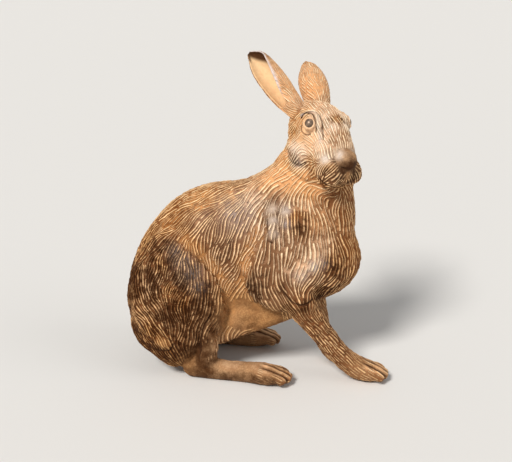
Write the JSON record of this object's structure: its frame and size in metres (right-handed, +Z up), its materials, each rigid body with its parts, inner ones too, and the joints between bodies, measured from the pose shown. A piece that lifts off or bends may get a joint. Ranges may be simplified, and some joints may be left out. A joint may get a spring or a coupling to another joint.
{
  "type": "hare figurine",
  "caption": "Sitting hare ornament in patinated bronze, head turned aside, ears laid back, forelegs reaching forward, standing on flat soles.",
  "frame": {"origin": "middle of the outer box, on the plane that the soles stand on", "axes": "+X where the chest faces, +Y to the hare's left, +Z up"},
  "size_m": [0.2008, 0.096, 0.2343],
  "materials": {
    "brown_bronze": "brown patina over ochre grooves",
    "ochre_bronze": "ochre patina, rubbed on the high spots",
    "dark_bronze": "polished, nearly black",
    "bare_bronze": "filed"
  },
  "bodies": {
    "root": {"body_shell": "brown_bronze", "head_shell": "brown_bronze", "ear_right": "ochre_bronze", "ear_left": "ochre_bronze", "eye_right": "dark_bronze", "eye_left": "dark_bronze", "foreleg_right": "ochre_bronze", "foreleg_left": "ochre_bronze", "hind_foot_right": "ochre_bronze", "hind_foot_left": "ochre_bronze", "neck_pin_1": "bare_bronze", "neck_pin_2": "bare_bronze", "neck_pin_3": "bare_bronze", "foreleg_right_pin": "bare_bronze", "foreleg_left_pin": "bare_bronze", "hind_foot_right_pin": "bare_bronze", "hind_foot_left_pin": "bare_bronze"}
  },
  "joints": []
}
